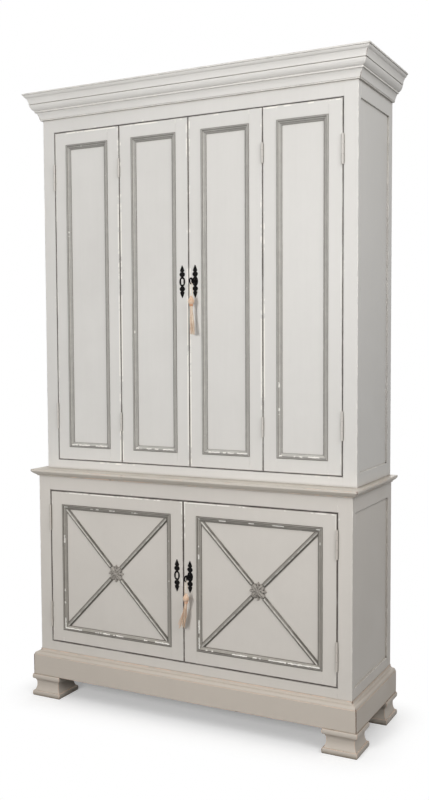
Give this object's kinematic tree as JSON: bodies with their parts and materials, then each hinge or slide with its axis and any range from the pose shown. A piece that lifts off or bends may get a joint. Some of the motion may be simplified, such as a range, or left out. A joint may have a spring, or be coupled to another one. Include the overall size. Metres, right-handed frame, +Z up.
{
  "type": "cupboard",
  "caption": "Tall painted two-part cupboard with folding panelled upper doors, diagonal-cross lower doors, moulded crown and plinth, iron escutcheons and tasselled keys.",
  "frame": {"origin": "middle of the footprint on the floor", "axes": "+Z up, -Y towards the doors, +X to the right"},
  "size_m": [1.408, 0.472, 2.368],
  "materials": {
    "white_paint": "worn matt paint",
    "inside_paint": "matt paint",
    "grey_paint": "worn matt paint",
    "hinge_paint": "painted over",
    "iron": "black",
    "tassel_thread": "silky thread"
  },
  "bodies": {
    "case": {"case_hinges": "hinge_paint", "crown_moulding": "white_paint", "feet": "white_paint", "lower_back": "inside_paint", "lower_face_frame": "white_paint", "lower_floor": "inside_paint", "lower_left_side": "white_paint", "lower_right_side": "white_paint", "lower_shelf": "inside_paint", "lower_top": "inside_paint", "plinth": "white_paint", "shelf_cleats": "inside_paint", "upper_back": "inside_paint", "upper_face_frame": "white_paint", "upper_floor": "inside_paint", "upper_left_side": "white_paint", "upper_right_side": "white_paint", "upper_roof": "inside_paint", "upper_shelves": "inside_paint", "waist_moulding": "white_paint"},
    "lower_key": {"lower_key": "iron"},
    "lower_left_door": {"lower_left_door_escutcheon": "iron", "lower_left_door_frame": "white_paint", "lower_left_door_hinges": "hinge_paint", "lower_left_door_moulding": "grey_paint", "lower_left_door_panel": "white_paint", "lower_left_door_rosette": "grey_paint"},
    "lower_lock_bolt": {"lower_lock_bolt": "iron"},
    "lower_right_door": {"lower_lock_case": "iron", "lower_right_door_escutcheon": "iron", "lower_right_door_frame": "white_paint", "lower_right_door_hinges": "hinge_paint", "lower_right_door_moulding": "grey_paint", "lower_right_door_panel": "white_paint", "lower_right_door_rosette": "grey_paint"},
    "lower_tassel": {"lower_tassel": "tassel_thread", "lower_tassel_loop": "tassel_thread"},
    "upper_key": {"upper_key": "iron"},
    "upper_left_inner_door": {"upper_left_inner_door_escutcheon": "iron", "upper_left_inner_door_frame": "white_paint", "upper_left_inner_door_hinges": "hinge_paint", "upper_left_inner_door_moulding": "grey_paint", "upper_left_inner_door_panel": "white_paint"},
    "upper_left_outer_door": {"upper_left_outer_door_frame": "white_paint", "upper_left_outer_door_hinges": "hinge_paint", "upper_left_outer_door_moulding": "grey_paint", "upper_left_outer_door_panel": "white_paint"},
    "upper_lock_bolt": {"upper_lock_bolt": "iron"},
    "upper_right_inner_door": {"upper_lock_case": "iron", "upper_right_inner_door_escutcheon": "iron", "upper_right_inner_door_frame": "white_paint", "upper_right_inner_door_hinges": "hinge_paint", "upper_right_inner_door_moulding": "grey_paint", "upper_right_inner_door_panel": "white_paint"},
    "upper_right_outer_door": {"upper_right_outer_door_frame": "white_paint", "upper_right_outer_door_hinges": "hinge_paint", "upper_right_outer_door_moulding": "grey_paint", "upper_right_outer_door_panel": "white_paint"},
    "upper_tassel": {"upper_tassel": "tassel_thread", "upper_tassel_loop": "tassel_thread"}
  },
  "joints": [
    {"name": "upper_left_outer_door_swing", "type": "hinge", "parent": "case", "child": "upper_left_outer_door", "pos_m": [-0.5927, -0.1424, 1.5795], "axis": [0, 0, -1], "range_deg": [0, 95]},
    {"name": "upper_left_inner_door_fold", "type": "hinge", "parent": "upper_left_outer_door", "child": "upper_left_inner_door", "pos_m": [-0.29635, -0.1424, 1.5795], "axis": [0, 0, -1], "range_deg": [0, 165]},
    {"name": "lower_left_door_swing", "type": "hinge", "parent": "case", "child": "lower_left_door", "pos_m": [-0.5957, -0.1964, 0.525], "axis": [0, 0, -1], "range_deg": [0, 170]},
    {"name": "upper_right_outer_door_swing", "type": "hinge", "parent": "case", "child": "upper_right_outer_door", "pos_m": [0.5927, -0.1424, 1.5795], "axis": [0, 0, 1], "range_deg": [0, 95]},
    {"name": "upper_right_inner_door_fold", "type": "hinge", "parent": "upper_right_outer_door", "child": "upper_right_inner_door", "pos_m": [0.29635, -0.1424, 1.5795], "axis": [0, 0, 1], "range_deg": [0, 165]},
    {"name": "lower_right_door_swing", "type": "hinge", "parent": "case", "child": "lower_right_door", "pos_m": [0.5957, -0.1964, 0.525], "axis": [0, 0, 1], "range_deg": [0, 170]},
    {"name": "upper_key_turn", "type": "hinge", "parent": "upper_right_inner_door", "child": "upper_key", "pos_m": [0.0268, -0.1695, 1.6236], "axis": [0, 1, 0], "range_deg": [0, 90]},
    {"name": "upper_bolt_slide", "type": "slide", "parent": "upper_right_inner_door", "child": "upper_lock_bolt", "axis": [-1, 0, 0], "range_m": [0, 0.0099]},
    {"name": "upper_tassel_hang", "type": "hinge", "parent": "upper_key", "child": "upper_tassel", "pos_m": [0.0268, -0.1695, 1.6129], "axis": [0, -1, 0], "range_deg": [0, 90]},
    {"name": "lower_key_turn", "type": "hinge", "parent": "lower_right_door", "child": "lower_key", "pos_m": [0.0273, -0.2235, 0.5466], "axis": [0, 1, 0], "range_deg": [0, 90]},
    {"name": "lower_bolt_slide", "type": "slide", "parent": "lower_right_door", "child": "lower_lock_bolt", "axis": [-1, 0, 0], "range_m": [0, 0.0099]},
    {"name": "lower_tassel_hang", "type": "hinge", "parent": "lower_key", "child": "lower_tassel", "pos_m": [0.0273, -0.2235, 0.5359], "axis": [0, -1, 0], "range_deg": [0, 90]}
  ],
  "couplings": [
    {"joint": "upper_bolt_slide", "follows": "upper_key_turn", "m_per_rad": 0.0063},
    {"joint": "upper_tassel_hang", "follows": "upper_key_turn", "ratio": 1},
    {"joint": "lower_bolt_slide", "follows": "lower_key_turn", "m_per_rad": 0.0063},
    {"joint": "lower_tassel_hang", "follows": "lower_key_turn", "ratio": 1}
  ]
}
